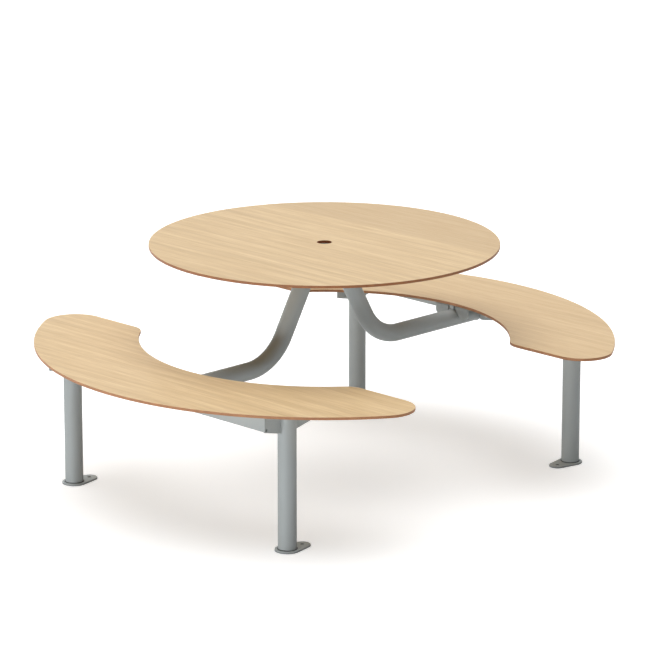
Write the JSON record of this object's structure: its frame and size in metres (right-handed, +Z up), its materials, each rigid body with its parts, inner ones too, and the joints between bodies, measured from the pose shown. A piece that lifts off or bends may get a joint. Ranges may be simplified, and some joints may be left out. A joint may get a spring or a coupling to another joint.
{
  "type": "round table with attached benches",
  "caption": "Round laminate picnic table with curved benches on a bent-tube steel frame, bolted down at its feet, with a parasol hole in the top.",
  "frame": {"origin": "on the floor, under the middle of the round top", "axes": "+Z up, +X along the benches and the wood grain, +Y from the front bench to the back bench"},
  "size_m": [1.5662, 1.8256, 0.754],
  "materials": {
    "oak_laminate": "pale oak decor on a compact laminate board, satin, with a bare brown edge",
    "grey_steel": "silver-grey powder coat, satin",
    "zinc_steel": "bright zinc plating",
    "cap_plastic": "matt dark grey moulding"
  },
  "bodies": {
    "root": {"table_top": "oak_laminate", "seat_board_front": "oak_laminate", "seat_board_back": "oak_laminate", "top_rail_front": "grey_steel", "top_rail_back": "grey_steel", "top_crossbar_left": "grey_steel", "top_crossbar_right": "grey_steel", "top_rail_caps": "cap_plastic", "top_board_screws": "zinc_steel", "arm_tube_front": "grey_steel", "arm_tube_back": "grey_steel", "arm_head_plate_front": "grey_steel", "arm_head_plate_back": "grey_steel", "head_plate_bolts": "zinc_steel", "arm_end_cap_front": "grey_steel", "arm_end_cap_back": "grey_steel", "bearer_bar_front": "grey_steel", "bearer_bar_back": "grey_steel", "wing_bracket_front_left": "grey_steel", "wing_bracket_front_right": "grey_steel", "wing_bracket_back_left": "grey_steel", "wing_bracket_back_right": "grey_steel", "seat_rail_bolts": "zinc_steel", "seat_rail_front": "grey_steel", "seat_rail_back": "grey_steel", "leg_front_left": "grey_steel", "leg_front_right": "grey_steel", "leg_back_left": "grey_steel", "leg_back_right": "grey_steel", "leg_bracket_front_left": "grey_steel", "leg_bracket_front_right": "grey_steel", "leg_bracket_back_left": "grey_steel", "leg_bracket_back_right": "grey_steel", "foot_plate_front_left": "grey_steel", "foot_plate_front_right": "grey_steel", "foot_plate_back_left": "grey_steel", "foot_plate_back_right": "grey_steel", "seat_screws_front": "zinc_steel", "seat_screws_back": "zinc_steel"}
  },
  "joints": []
}
